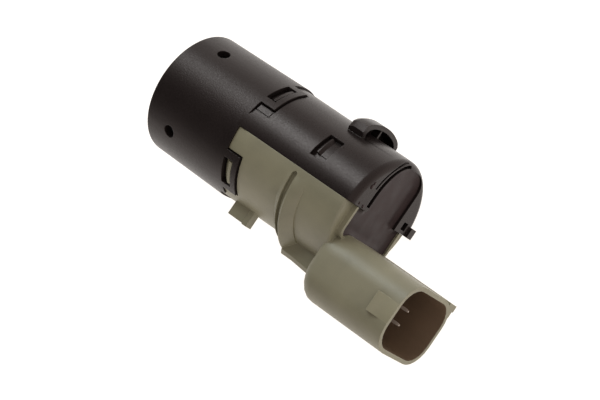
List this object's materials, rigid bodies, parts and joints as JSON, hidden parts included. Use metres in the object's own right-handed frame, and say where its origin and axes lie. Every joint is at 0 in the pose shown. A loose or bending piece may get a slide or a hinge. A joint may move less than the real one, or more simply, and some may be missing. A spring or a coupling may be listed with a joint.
{
  "type": "parking sensor",
  "caption": "Push-in ultrasonic distance sensor: round barrel with a flat sensing face, latch tabs, a retaining hood and lug, and an offset plug socket with contact pins.",
  "frame": {"origin": "centre of the sensing face, on the barrel's axis", "axes": "-Y is the sensing direction, out of the flat face; +Y runs along the barrel to the plug socket's mouth; +X points to the side that carries the socket; the seams of the two shells lie at +Z and -Z"},
  "size_m": [0.033, 0.0665, 0.025],
  "materials": {
    "black_plastic": "moulded, fine eroded grain",
    "grey_plastic": "moulded, fine eroded grain",
    "potting_resin": "cast, glossy",
    "silicone": "moulded, soft matte",
    "face_paint": "painted, satin",
    "damping_foam": "open foam",
    "piezo_ceramic": "fired, ground flat",
    "board_laminate": "glass and epoxy laminate with solder mask",
    "tinned_contact": "tin plated, drawn",
    "copper_wire": "enamelled",
    "ferrite": "pressed and fired",
    "component_plastic": "moulded",
    "capacitor_shell": "moulded"
  },
  "bodies": {
    "root": {"front_sleeve": "black_plastic", "connector_housing": "grey_plastic", "rear_shell": "black_plastic", "resin_potting": "potting_resin", "contact_pin_1": "tinned_contact", "contact_pin_2": "tinned_contact", "contact_pin_3": "tinned_contact", "circuit_board": "board_laminate", "transducer_cup": "face_paint", "piezo_disc": "piezo_ceramic", "damping_pad": "damping_foam", "decoupling_ring": "silicone", "lead_wire_1": "copper_wire", "lead_wire_2": "copper_wire", "transformer_bobbin": "component_plastic", "transformer_winding": "copper_wire", "transformer_core": "ferrite", "control_chip": "component_plastic", "storage_capacitor": "capacitor_shell", "filter_capacitor_1": "piezo_ceramic", "filter_capacitor_2": "piezo_ceramic", "resistor_1": "component_plastic", "resistor_2": "component_plastic", "clamp_diode": "component_plastic"}
  },
  "joints": []
}
